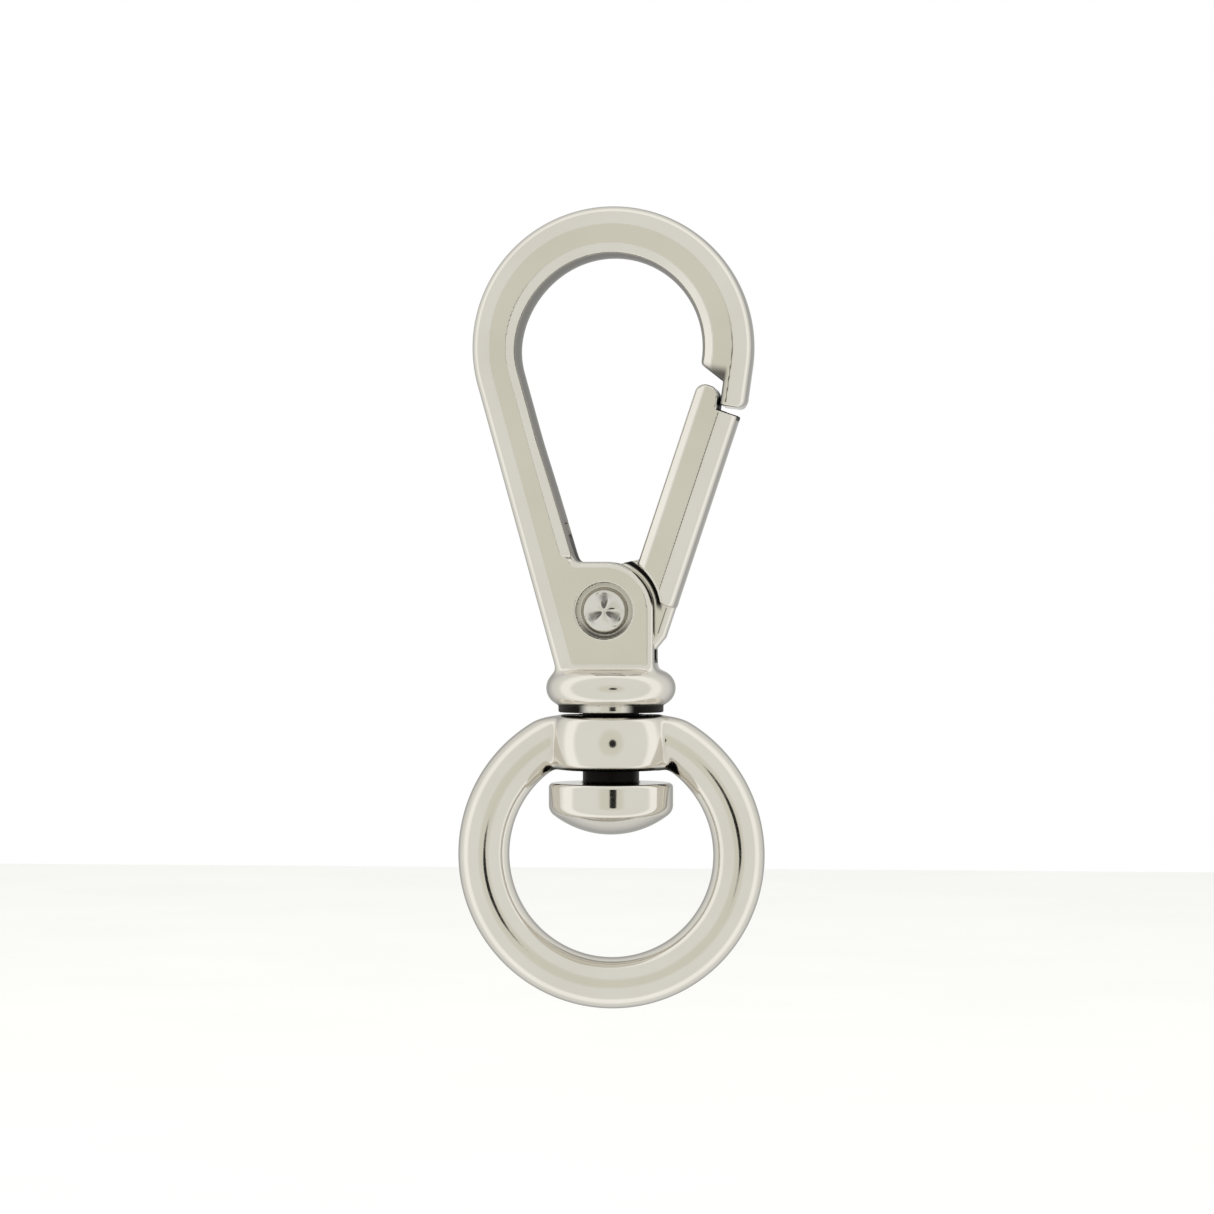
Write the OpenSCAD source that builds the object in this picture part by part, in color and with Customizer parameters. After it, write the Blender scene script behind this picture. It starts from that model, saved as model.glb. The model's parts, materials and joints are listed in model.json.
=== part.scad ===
// Swivel snap hook with a round ring, a swivel stud and a sprung gate.
// Millimetres. The origin is the centre of the ring eye, on the swivel axis.
// +Z runs up the swivel axis to the hook, +X points to the gate side, -Y is the front.

/* [Ring] */
// Clear diameter of the ring eye
eye_d = 16; // [12:0.5:20]
// Diameter of the ring wire
wire_d = 4; // [3:0.1:5]
// Greatest diameter of the hub
hub_d = 9.4; // [8:0.1:11]
// Height of the hub
hub_h = 4.3; // [3.5:0.1:5]
// Height of the hub's lower face above the eye centre
hub_z = 6.6; // [6:0.1:8]

/* [Swivel stud] */
// Diameter of the button head
button_d = 9.7; // [8:0.1:11]
// Height of the button head, dome included
button_h = 4.04; // [3:0.02:5]
// Height of the dome under the button
button_dome_h = 1.84; // [1:0.02:2.5]
// Gap between the button and the hub
button_gap = 1; // [0.4:0.05:1.5]
// Diameter of the stud's shank
shank_d = 4.4; // [3.6:0.1:5]
// Radial clearance of the shank in the hub
shank_clearance = 0.05; // [0.02:0.01:0.1]
// Diameter of the riveted tenon above the shank
tenon_d = 2.1; // [1.8:0.05:2.3]

/* [Collar] */
// Diameter of the collar
collar_d = 10.1; // [9:0.1:11.5]
// Height of the collar
collar_h = 2.8; // [2.2:0.1:3.4]
// Gap between the hub and the collar
collar_gap = 0.7; // [0.3:0.05:1.2]
// Diameter of the bearing face under the collar
bearing_d = 8.2; // [6:0.1:9]
// Height of the bearing face under the collar
bearing_h = 0.5; // [0.1:0.05:0.6]
// Depth of the shank's seat in the collar
shank_seat = 0.8; // [0.5:0.05:1.2]

/* [Hook] */
// Thickness of the hook, front to back
hook_t = 5.2; // [4.4:0.1:6]
// Width of the bow and the arm
band_w = 4; // [3.4:0.1:4.6]
// Mean radius of the bow
bow_r = 9; // [8:0.1:10]
// Height of the bow centre above the eye centre
bow_z = 39.5; // [37:0.1:42]
// Offset of the bow centre from the swivel axis
bow_x = 0.2; // [-1:0.1:1]
// Lean of the straight arm from the vertical
arm_lean = 15.5; // [12:0.5:18]
// Rounding of the bow's outer edges
outer_round = 1.3; // [0.6:0.1:1.8]
// Rounding of the bow's inner edges
inner_round = 0.7; // [0.3:0.1:1.2]
// How far the bow runs past the level of its centre
nose_sweep = 8; // [4:1:12]
// Length of the straight nose below the bow
nose_l = 3.38; // [2.8:0.02:4]
// Thickness of the nose's lap lip
lip_t = 1.95; // [1.5:0.05:2.3]

/* [Hinge] */
// Offset of the hinge pin from the swivel axis
pivot_x = -0.28; // [-1:0.02:1]
// Height of the hinge pin above the eye centre
pivot_z = 19; // [18:0.1:20]
// Radius of the cheeks about the pin
cheek_r = 3.85; // [3.4:0.05:4.2]
// Rounding of the cheeks' edges
cheek_round = 0.45; // [0.2:0.05:0.8]
// Width of the slot between the cheeks
slot_w = 2.4; // [2:0.1:2.8]
// Radius of the slot about the pin
slot_r = 3.7; // [3.4:0.05:4]
// Height of the slot's floor above the eye centre
slot_floor_z = 15.2; // [15:0.05:15.4]
// Diameter of the counterbore for a rivet head
counterbore_d = 4.44; // [4:0.02:5]
// Depth of the counterbore
counterbore_h = 0.6; // [0.3:0.05:0.8]

/* [Gate] */
// Lean of the gate from the vertical
gate_lean = 18.5; // [16:0.5:21]
// Width of the gate
gate_w = 3.9; // [3.4:0.1:4.4]
// Offset of the gate's inner face from the pin
gate_inner = 1.17; // [0.8:0.01:1.5]
// Distance of the gate's tip from the pin
gate_l = 19.1; // [18:0.1:20]
// Distance of the gate's shoulder from the pin
shoulder_l = 17.6; // [17:0.1:18]
// Gap between the gate and the nose lip
lap_gap = 0.12; // [0.06:0.01:0.3]
// Radius about the pin of the gate's hollow lower end
heel_r = 4.35; // [4.1:0.05:4.6]
// Thickness of the tongue between the cheeks
tongue_t = 2.26; // [1.8:0.02:2.34]
// Radius of the tongue about the pin
tongue_r = 3.55; // [3.2:0.05:3.6]

/* [Rivet and spring] */
// Diameter of the rivet's shank
rivet_d = 2.4; // [2:0.1:2.8]
// Diameter of the rivet's heads
rivet_head_d = 3.7; // [3:0.1:4.2]
// Radial clearance of the gate on the rivet
gate_clearance = 0.05; // [0.02:0.01:0.1]
// Diameter of the spring wire
spring_wire = 0.35; // [0.25:0.01:0.4]
// Mean radius of the spring's coils
spring_r = 1.5; // [1.4:0.01:1.7]
// Rise of the spring in each half turn
spring_rise = 0.19; // [0.18:0.005:0.22]

/* [Hidden] */
$fn = 96;

nickel = [0.80, 0.78, 0.74];
nickel_dark = [0.66, 0.65, 0.63];
steel = [0.58, 0.58, 0.60];

// cuts run this far past the solids they open
past = 1;

// ring and hub
ring_r = (eye_d + wire_d) / 2;
hub_top = hub_z + hub_h;
hub_round = 0.5;
hub_bulge_r = 5.2;

// stud, from the button's underside to the tenon's riveted end
button_top = hub_z - button_gap;
button_low = button_top - button_h;
button_edge = 0.35;
dome_r = (pow(button_d / 2, 2) + pow(button_dome_h, 2)) / (2 * button_dome_h);
collar_z = hub_top + collar_gap;
collar_top = collar_z + collar_h;
shank_top = collar_z + shank_seat;
tenon_sink_d = slot_w - 0.06;
tenon_sink_h = 0.35;
tenon_dome_h = 0.1;

// arm: a straight bar that leaves the bow on its tangent
arm_start_x = bow_x - bow_r * cos(arm_lean);
arm_start_z = bow_z - bow_r * sin(arm_lean);
arm_end_z = collar_top - 0.9;
arm_l = (arm_start_z - arm_end_z) / cos(arm_lean);

// nose lap, measured along and across the straight nose
lip_inner = band_w / 2 - lip_t;
lip_step_l = 1.55;
lip_slope = 30;
lip_end_cut = 0.45;

// cheeks
cheek_low = collar_top - 0.6;
cheek_top = pivot_z + cheek_r;

// gate, in its own frame: x across to the outer face, z up from the pin
gate_outer = gate_inner + gate_w;
gate_mid = (gate_inner + gate_outer) / 2;
heel_low = 1.9;
tip_cut = 0.55;
tip_outer = 3.14;
toe = [4.6, -1.6];
foot = [3.2, -2.5];
spring_room = 1.4;
spring_pocket_r = spring_r + spring_wire / 2 + 0.2;
leg_pocket_l = 7.4;
leg_room = 0.03;

// rivet
rivet_seat = hook_t / 2 - counterbore_h;
rivet_head_h = 0.42;
rivet_dome_h = 0.28;
rivet_dome_r = (pow(rivet_head_d / 2, 2) + pow(rivet_dome_h, 2)) / (2 * rivet_dome_h);
rivet_dimple_r = 0.6;
rivet_dimple_depth = 0.22;

// spring
spring_halves = 4;
spring_tilt = asin(spring_rise / (2 * spring_r));
spring_last = 117;
spring_turn_y = -0.5;
gate_leg_l = 7;
body_leg_l = 3.2;

// A bar section: x across the bar with the outer face at +x, y through the thickness.
module bar_section(w, t, r_out, r_in) {
    translate([-w / 2 + r_in, -t / 2]) square([w - r_out - r_in, t]);
    translate([-w / 2, -t / 2 + r_in]) square([w / 2, t - 2 * r_in]);
    translate([0, -t / 2 + r_out]) square([w / 2, t - 2 * r_out]);
    for (side = [-1, 1]) {
        translate([w / 2 - r_out, side * (t / 2 - r_out)]) circle(r = r_out);
        translate([-w / 2 + r_in, side * (t / 2 - r_in)]) circle(r = r_in);
    }
}

// Half a bar section, square at x = 0 and rounded at its outer face.
module edge_section(w, t, r) {
    translate([0, -t / 2]) square([w - r, t]);
    translate([0, -t / 2 + r]) square([w, t - 2 * r]);
    for (side = [-1, 1]) {
        translate([w - r, side * (t / 2 - r)]) circle(r = r);
    }
}

// Turns a flat outline, drawn x across and y up, into a plate that lies in the hook's plane.
module plate(t) {
    rotate([90, 0, 0]) linear_extrude(height = t, center = true) children();
}

module swivel_ring() {
    color(nickel)
    difference() {
        union() {
            difference() {
                rotate([90, 0, 0]) rotate_extrude() translate([ring_r, 0]) circle(d = wire_d);
                translate([0, 0, hub_top + eye_d / 2]) cube([eye_d, eye_d, eye_d], center = true);
                translate([0, 0, hub_z + hub_h / 2]) cylinder(r = hub_d / 2 - 1, h = eye_d, center = true);
            }
            translate([0, 0, hub_z + hub_h / 2]) hub();
        }
        translate([0, 0, hub_z - past]) cylinder(r = shank_d / 2 + shank_clearance, h = hub_h + 2 * past);
    }
}

// The hub is a barrel: a band with rounded rims and a gently bulged side.
module hub() {
    rotate_extrude() {
        intersection() {
            edge_section(hub_d / 2, hub_h, hub_round);
            translate([hub_d / 2 - hub_bulge_r, 0]) circle(r = hub_bulge_r);
        }
    }
}

module swivel_stud() {
    color(nickel)
    union() {
        rotate_extrude() {
            intersection() {
                button_outline();
                translate([0, button_low + dome_r]) circle(r = dome_r);
            }
        }
        translate([0, 0, button_top - past]) cylinder(d = shank_d, h = shank_top - button_top + past);
        translate([0, 0, shank_top - past]) cylinder(d = tenon_d, h = slot_floor_z - shank_top + past);
        translate([0, 0, slot_floor_z - tenon_sink_h]) {
            cylinder(d1 = tenon_d, d2 = tenon_sink_d, h = tenon_sink_h);
        }
        translate([0, 0, slot_floor_z]) {
            cylinder(d1 = tenon_sink_d, d2 = tenon_sink_d - 4 * tenon_dome_h, h = tenon_dome_h);
        }
    }
}

// The button's band, with its upper rim rounded; the dome is cut from it.
module button_outline() {
    translate([0, button_low]) square([button_d / 2, button_h - button_edge]);
    translate([0, button_low]) square([button_d / 2 - button_edge, button_h]);
    translate([button_d / 2 - button_edge, button_top - button_edge]) circle(r = button_edge);
}

module hook_body() {
    color(nickel)
    difference() {
        union() {
            bow();
            arm();
            nose();
            cheeks();
            collar();
        }
        gate_slot();
        rivet_holes();
        stud_hole();
    }
}

// Turns about the bow's centre: x then points outwards and y along the bow, up from the nose.
module bow_frame(angle) {
    translate([bow_x, 0, bow_z]) rotate([90, 0, 0]) rotate([0, 0, angle]) children();
}

module hook_section() {
    bar_section(band_w, hook_t, outer_round, inner_round);
}

// The bow turns from the start of the nose, over the top, to the arm's tangent.
module bow() {
    bow_frame(-nose_sweep) {
        rotate_extrude(angle = 180 + arm_lean + nose_sweep) translate([bow_r, 0]) hook_section();
    }
}

module arm() {
    bow_frame(180 + arm_lean) translate([bow_r, 0, 0]) rotate([-90, 0, 0]) {
        linear_extrude(height = arm_l) hook_section();
    }
}

// The straight nose, thinned on its inner side to a lip that laps the gate.
module nose() {
    bow_frame(-nose_sweep) translate([bow_r, 0, 0]) {
        difference() {
            rotate([90, 0, 0]) linear_extrude(height = nose_l) hook_section();
            linear_extrude(height = hook_t + 2 * past, center = true) nose_cut();
        }
    }
}

module nose_cut() {
    rise = (band_w / 2 + lip_inner) * tan(lip_slope);
    polygon([
        [-band_w / 2 - past, -lip_step_l + rise + past * tan(lip_slope)],
        [lip_inner, -lip_step_l],
        [lip_inner, -nose_l - past],
        [-band_w / 2 - past, -nose_l - past]
    ]);
    polygon([
        [band_w / 2 - lip_end_cut, -nose_l],
        [band_w / 2, -nose_l + lip_end_cut],
        [band_w / 2 + past, -nose_l + lip_end_cut],
        [band_w / 2 + past, -nose_l - past],
        [band_w / 2 - lip_end_cut, -nose_l - past]
    ]);
}

// Both cheeks as one block: a quarter disc about the pin, with bars along its top and right.
module cheeks() {
    translate([pivot_x, 0, pivot_z]) {
        rotate([90, 0, 0]) rotate_extrude(angle = 90) edge_section(cheek_r, hook_t, cheek_round);
        rotate([0, -90, 0]) {
            linear_extrude(height = pivot_x - arm_mid(cheek_top)) {
                edge_section(cheek_r, hook_t, cheek_round);
            }
        }
        rotate([180, 0, 0]) {
            linear_extrude(height = pivot_z - cheek_low) edge_section(cheek_r, hook_t, cheek_round);
        }
    }
    plate(hook_t) cheek_fill();
}

// Fills the block between the pin and the middle of the arm.
module cheek_fill() {
    top_x = arm_mid(pivot_z + 2);
    low_x = arm_mid(cheek_low);
    polygon([
        [pivot_x + past, cheek_low],
        [pivot_x + past, pivot_z + 2],
        [top_x, pivot_z + 2],
        [low_x, cheek_low]
    ]);
}

// The arm's middle line at a given height.
function arm_mid(z) = arm_start_x + (arm_start_z - z) * tan(arm_lean);

module collar() {
    translate([0, 0, collar_z + collar_h / 2]) {
        rotate_extrude() {
            translate([collar_d / 2 - collar_h / 2, 0]) circle(d = collar_h);
            translate([0, -collar_h / 2]) square([collar_d / 2 - collar_h / 2, collar_h]);
            translate([0, -collar_h / 2 - bearing_h]) square([bearing_d / 2, collar_h / 2 + bearing_h]);
        }
    }
}

// Room for the gate's tongue: round at the back, open to the top, to the right and over the floor.
module gate_slot() {
    mouth = 2 * cheek_r;
    back_lean = 27;
    translate([pivot_x, 0, pivot_z]) rotate([90, 0, 0]) {
        cylinder(r = slot_r, h = slot_w, center = true);
    }
    plate(slot_w) {
        polygon([
            [pivot_x, pivot_z],
            [pivot_x - mouth * sin(back_lean), pivot_z + mouth * cos(back_lean)],
            [pivot_x + mouth, pivot_z + mouth],
            [pivot_x + mouth, slot_floor_z],
            [-tenon_sink_d / 2 - 0.2, slot_floor_z]
        ]);
    }
}

module rivet_holes() {
    translate([pivot_x, 0, pivot_z]) rotate([90, 0, 0]) {
        cylinder(d = rivet_d, h = hook_t + 2 * past, center = true);
        for (side = [0, 180]) {
            rotate([side, 0, 0]) translate([0, 0, rivet_seat]) {
                cylinder(d = counterbore_d, h = counterbore_h + past);
            }
        }
    }
}

// The stud's seat, the tenon's hole and the sink that its riveted end fills.
module stud_hole() {
    translate([0, 0, hub_top]) cylinder(d = shank_d, h = shank_top - hub_top);
    translate([0, 0, collar_z]) cylinder(d = tenon_d, h = slot_floor_z - collar_z);
    translate([0, 0, slot_floor_z - tenon_sink_h]) {
        cylinder(d1 = tenon_d, d2 = tenon_sink_d, h = tenon_sink_h);
    }
}

module gate() {
    color(nickel_dark)
    translate([pivot_x, 0, pivot_z]) rotate([0, gate_lean, 0]) {
        difference() {
            union() {
                gate_bar();
                plate(tongue_t) tongue_outline();
            }
            rotate([90, 0, 0]) cylinder(r = rivet_d / 2 + gate_clearance, h = hook_t, center = true);
            plate(spring_room) spring_pocket();
        }
    }
}

// The gate's outer part, full thickness, hollowed at its heel to run round the cheeks.
module gate_bar() {
    difference() {
        translate([gate_mid, 0, heel_low]) {
            linear_extrude(height = gate_l - heel_low) {
                bar_section(gate_w, hook_t, outer_round, inner_round);
            }
        }
        rotate([90, 0, 0]) cylinder(r = heel_r, h = hook_t + 2 * past, center = true);
        rotate([0, -gate_lean, 0]) translate([-pivot_x, 0, -pivot_z]) plate(hook_t + 2 * past) lap_cut();
        plate(hook_t + 2 * past) tip_cuts();
    }
}

// The step that the nose's lip drops into, drawn in the hook's own frame.
module lap_cut() {
    intersection() {
        translate([bow_x, bow_z]) rotate(-nose_sweep) {
            translate([bow_r + lip_inner - lap_gap, -2 * nose_l]) square([band_w + past, 2 * nose_l]);
        }
        translate([pivot_x, pivot_z]) rotate(-gate_lean) {
            translate([-gate_l, shoulder_l]) square([2 * gate_l, gate_l]);
        }
    }
}

// The two corners taken off the tip, at 45 degrees.
module tip_cuts() {
    polygon([
        [gate_inner - past, gate_l - tip_cut - past],
        [gate_inner + tip_cut + past, gate_l + past],
        [gate_inner - past, gate_l + past]
    ]);
    polygon([
        [tip_outer - tip_cut - past, gate_l + past],
        [tip_outer + past, gate_l - tip_cut - past],
        [tip_outer + past, gate_l + past]
    ]);
}

// The tongue: a round end about the pin that widens into the gate.
module tongue_outline() {
    circle(r = tongue_r);
    polygon([
        [0, 0],
        [-1.2, 3.3],
        [gate_inner + 0.4, heel_r + 0.6],
        [gate_inner + 0.4, heel_r + 2],
        [gate_outer - outer_round, heel_r + 2],
        [gate_outer - 0.05, heel_low + 0.4],
        [gate_outer - 0.05, -0.5],
        toe,
        foot,
        [0, -tongue_r + 0.2]
    ]);
}

// Room for the coils, for the leg against the arm side and for the leg along the gate.
module spring_pocket() {
    reach = heel_r + past;
    circle(r = spring_pocket_r);
    translate([-reach, -reach]) square([reach, 2 * reach]);
    square([spring_r + spring_wire / 2 + leg_room, leg_pocket_l]);
}

module gate_rivet() {
    color(steel)
    translate([pivot_x, 0, pivot_z]) rotate([90, 0, 0]) {
        cylinder(d = rivet_d, h = 2 * rivet_seat, center = true);
        for (side = [0, 180]) {
            rotate([side, 0, 0]) translate([0, 0, rivet_seat]) rivet_head();
        }
    }
}

// A low domed head with the punch's dimple in it.
module rivet_head() {
    dome_top = rivet_head_h + rivet_dome_h;
    difference() {
        intersection() {
            cylinder(d = rivet_head_d, h = dome_top);
            translate([0, 0, dome_top - rivet_dome_r]) sphere(r = rivet_dome_r);
        }
        translate([0, 0, dome_top + rivet_dimple_r - rivet_dimple_depth]) sphere(r = rivet_dimple_r);
    }
}

// Half turns tilted to and fro join end to end and climb like a coil.
module gate_spring() {
    color(steel)
    translate([pivot_x, 0, pivot_z]) rotate([0, gate_lean, 0]) rotate([90, 0, 0]) {
        translate([0, 0, spring_turn_y]) {
            for (i = [0 : spring_halves - 1]) {
                spring_arc(i, 180);
            }
            spring_arc(spring_halves, spring_last);
            spring_frame(0, 0) translate([spring_r, 0, 0]) rotate([-90, 0, 0]) {
                cylinder(d = spring_wire, h = gate_leg_l);
            }
            spring_frame(spring_halves, spring_last) translate([spring_r, 0, 0]) rotate([90, 0, 0]) {
                cylinder(d = spring_wire, h = body_leg_l);
            }
        }
    }
}

// The tilted frame of one half turn, advanced along the wire by an angle.
module spring_frame(i, advance) {
    odd = i % 2;
    translate([0, 0, (i + 0.5) * spring_rise]) rotate([0, (1 - 2 * odd) * spring_tilt, 0]) {
        rotate([0, 0, 180 * odd - advance]) children();
    }
}

module spring_arc(i, angle) {
    spring_frame(i, 0) rotate([180, 0, 0]) {
        rotate_extrude(angle = angle) translate([spring_r, 0]) circle(d = spring_wire);
    }
}

swivel_ring();
swivel_stud();
hook_body();
gate();
gate_rivet();
gate_spring();
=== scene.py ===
import json
import math

import bpy
import numpy as np
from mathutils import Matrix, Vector


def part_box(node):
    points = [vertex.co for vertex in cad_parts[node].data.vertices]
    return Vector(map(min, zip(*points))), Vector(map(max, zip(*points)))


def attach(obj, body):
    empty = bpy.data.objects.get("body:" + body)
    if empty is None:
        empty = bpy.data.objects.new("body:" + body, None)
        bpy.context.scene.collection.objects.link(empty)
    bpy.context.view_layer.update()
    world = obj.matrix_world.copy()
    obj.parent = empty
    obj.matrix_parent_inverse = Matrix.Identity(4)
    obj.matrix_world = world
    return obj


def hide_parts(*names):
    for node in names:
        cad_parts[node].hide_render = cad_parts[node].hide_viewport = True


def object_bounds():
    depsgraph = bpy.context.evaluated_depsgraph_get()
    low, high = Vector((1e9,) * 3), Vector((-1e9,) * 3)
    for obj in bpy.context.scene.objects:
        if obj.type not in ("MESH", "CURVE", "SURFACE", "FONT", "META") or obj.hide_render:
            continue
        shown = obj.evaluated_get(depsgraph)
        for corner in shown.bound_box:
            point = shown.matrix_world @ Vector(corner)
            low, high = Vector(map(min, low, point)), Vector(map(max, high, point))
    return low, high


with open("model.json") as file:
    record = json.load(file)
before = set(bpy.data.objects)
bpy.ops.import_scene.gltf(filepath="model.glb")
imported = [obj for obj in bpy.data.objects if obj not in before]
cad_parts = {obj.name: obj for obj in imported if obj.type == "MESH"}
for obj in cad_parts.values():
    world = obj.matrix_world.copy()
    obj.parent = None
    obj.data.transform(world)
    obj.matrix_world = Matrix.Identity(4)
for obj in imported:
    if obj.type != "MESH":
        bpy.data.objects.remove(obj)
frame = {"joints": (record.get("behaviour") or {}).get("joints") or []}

MM = 0.001
cad_low, cad_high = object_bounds()


# ---------------------------------------------------------------- places, from the frame
def size_of(node):
    """The size of a CAD node's box, in millimetres."""
    low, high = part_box(node)
    return np.array(high - low) / MM


def top_of(node):
    """The height of the top of a CAD node's box, in millimetres."""
    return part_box(node)[1].z / MM


def bottom_of(node):
    """The height of the bottom of a CAD node's box, in millimetres."""
    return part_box(node)[0].z / MM


hinge = next(j for j in frame["joints"] if j["name"] == "gate_hinge")
pivot_x, pivot_z = hinge["pos_m"][0] / MM, hinge["pos_m"][2] / MM

# ring and hub
ring_outer = size_of("swivel_ring")[0] / 2
wire_r = 2.0
ring_r = ring_outer - wire_r
hub_r = size_of("swivel_ring")[1] / 2
hub_top = top_of("swivel_ring")
hub_h = 4.3
hub_low = hub_top - hub_h
hub_mid = hub_top - hub_h / 2
hub_bulge_r = 5.2
hub_round = 0.5
shank_r = 2.2
bore_r = shank_r + 0.05

# stud
button_r = size_of("swivel_stud")[0] / 2
button_low = bottom_of("swivel_stud")
button_top = 5.6
button_edge = 0.35
button_dome_h = 1.84
tenon_r = 1.05
tenon_sink_r = 1.17
tenon_sink_h = 0.35
stud_top = top_of("swivel_stud")

# collar
collar_r = size_of("hook_body")[1] / 2
bearing_h = 0.5
bearing_r = 4.1
collar_z = bottom_of("hook_body") + bearing_h
collar_h = 2.8
shank_top = collar_z + 0.8
slot_floor = stud_top - 0.1

# hook
half_t = 2.6
band_half = 2.0
bow_r = 9.0
bow_x = 0.2
bow_z = top_of("hook_body") - bow_r - band_half
arm_lean = math.radians(15.5)
arm_slim = 0.28
face_crease = 0.015
nose_sweep = math.radians(8)
nose_l = 3.38
lip_inner = 0.05
lip_step = 1.55
lip_slope = math.radians(30)
lip_end_cut = 0.45
nose_room = bow_z - 9.5

# cheeks
cheek_r = 3.85
cheek_low = collar_z + collar_h - 0.6
slot_half = 1.2
slot_r = 3.7
slot_back = math.radians(27)
# the tongue's room ends just above the cheeks, so the bow and the nose stay solid
slot_mouth = 2 * cheek_r * math.cos(slot_back)
slot_left = -1.37
counterbore_r = 2.22
rivet_seat = 2.0
rivet_r = 1.2
rivet_head_r = 1.85

# gate
gate_lean = math.radians(18.5)
gate_half = 1.95
gate_inner = 1.17
gate_mid = gate_inner + gate_half
gate_l = 19.1
shoulder_l = 17.6
lap_gap = 0.12
heel_r = 4.35
heel_low = 1.9
tongue_half = 1.13
tongue_r = 3.55
gate_bore_r = rivet_r + 0.05
inner_tip_cut = 0.55
outer_tip_cut = 2.59
coil_room_r = 1.875
leg_room_half = 1.705
body_leg_room_r = 5.35
gate_leg_room_l = 7.4
spring_room_half = 0.7

# spring
wire_d = 0.35
coil_r = 1.5
coil_rise = 0.19    # in each half turn
coil_turn = math.radians(837)
coil_y = 0.5
gate_leg = 7.0
body_leg = 3.2
nested_turn = math.radians(45)
nested_share = 0.97

far = 50.0    # a distance past everything, for a cut or a wall that isn't there


# ---------------------------------------------------------------- distance functions
def both(a, b, r):
    """The part inside both shapes, with an edge of radius r."""
    a, b = a + r, b + r
    return np.minimum(np.maximum(a, b), 0) + np.hypot(np.maximum(a, 0), np.maximum(b, 0)) - r


def either(a, b, r):
    """The part inside either shape, blended where the two are within r of each other."""
    h = np.maximum(r - np.abs(a - b), 0) / r
    return np.minimum(a, b) - h * h * h * r / 6


def without(a, b, r):
    """Shape a with shape b taken out, with an edge softened over r."""
    return -either(-a, b, r)


def fade(x, full, none):
    """Goes smoothly from 1 at full down to 0 at none, which lies above it."""
    return ease(-x, -none, -full)


def ease(x, low, high):
    """Goes smoothly from 0 at low to 1 at high."""
    t = np.clip((x - low) / (high - low), 0, 1)
    return t * t * (3 - 2 * t)


# ---------------------------------------------------------------- meshing
def cell_grid(low, high, cell):
    """Grid places along each axis, with two cells to spare at both ends."""
    return [np.arange(a - 2 * cell, b + 3 * cell, cell) for a, b in zip(low, high)]


def net(shape, low, high, cell, relax=3):
    """A closed quad mesh of the surface shape = 0, with points pulled onto it."""
    xs, ys, zs = cell_grid(low, high, cell)
    slabs = [shape(x, ys[:, None], zs[None, :]) for x in xs]
    value = np.array([np.broadcast_to(s, (len(ys), len(zs))) for s in slabs])
    inside = value < 0
    corner = [(i, j, k) for i in (0, 1) for j in (0, 1) for k in (0, 1)]
    n = np.array(value.shape) - 1
    count = sum(inside[i:i + n[0], j:j + n[1], k:k + n[2]].astype(np.int8) for i, j, k in corner)
    cells = np.argwhere((count > 0) & (count < 8))
    number = -np.ones(n, np.int64)
    number[tuple(cells.T)] = np.arange(len(cells))
    points = crossings(value, cells) * cell + np.array([xs[0], ys[0], zs[0]])
    faces = net_faces(inside, number)
    points = settle(shape, points, cell)
    for _ in range(relax):
        points = settle(shape, even_out(points, faces), cell)
    return points, faces


def crossings(value, cells):
    """The mean of each cell's edge crossings, in cells."""
    total = np.zeros((len(cells), 3))
    seen = np.zeros(len(cells))
    for axis in range(3):
        step = np.eye(3, dtype=int)[axis]
        others = [a for a in range(3) if a != axis]
        for p in (0, 1):
            for q in (0, 1):
                start = cells.copy()
                start[:, others[0]] += p
                start[:, others[1]] += q
                a = value[tuple(start.T)]
                b = value[tuple((start + step).T)]
                hit = (a < 0) != (b < 0)
                t = np.where(hit, a / np.where(hit, a - b, 1), 0)
                total += np.where(hit[:, None], start + t[:, None] * step, 0)
                seen += hit
    return total / seen[:, None]


def net_faces(inside, number):
    """One quad round every grid edge that crosses the surface, facing outwards."""
    quads = []
    for axis in range(3):
        here = [slice(None)] * 3
        there = [slice(None)] * 3
        here[axis], there[axis] = slice(0, -1), slice(1, None)
        a, b = inside[tuple(here)], inside[tuple(there)]
        edges = np.argwhere(a != b)
        p, q = [(1, 2), (2, 0), (0, 1)][axis]
        edges = edges[(edges[:, p] > 0) & (edges[:, q] > 0)]
        outward = a[tuple(edges.T)]
        ring = []
        for dp, dq in ((-1, -1), (0, -1), (0, 0), (-1, 0)):
            c = edges.copy()
            c[:, p] += dp
            c[:, q] += dq
            ring.append(number[tuple(c.T)])
        ring = np.array(ring).T
        ring[~outward] = ring[~outward][:, ::-1]
        quads.append(ring)
    return np.concatenate(quads)


def gradient(shape, points, h=0.004):
    """The direction in which the distance grows, from steps of h."""
    g = np.zeros_like(points)
    for axis in range(3):
        step = np.eye(3)[axis] * h
        g[:, axis] = at(shape, points + step) - at(shape, points - step)
    return g / (2 * h)


def at(shape, points):
    """The shape's value at each point."""
    return shape(points[:, 0], points[:, 1], points[:, 2])


def settle(shape, points, cell, rounds=4):
    """Moves points along the gradient onto the surface, at most a cell in each round."""
    for _ in range(rounds):
        g = gradient(shape, points)
        move = -at(shape, points)[:, None] * g / np.maximum((g * g).sum(1), 0.05)[:, None]
        length = np.linalg.norm(move, axis=1, keepdims=True)
        points = points + move * np.minimum(1, cell / np.maximum(length, 1e-12))
    return points


def even_out(points, faces, share=0.5):
    """Moves each point towards the middle of its neighbours."""
    total = np.zeros_like(points)
    seen = np.zeros(len(points))
    for i in range(4):
        for side in (1, 3):
            np.add.at(total, faces[:, i], points[faces[:, (i + side) % 4]])
            np.add.at(seen, faces[:, i], 1)
    return points * (1 - share) + total / np.maximum(seen, 1)[:, None] * share


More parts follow.
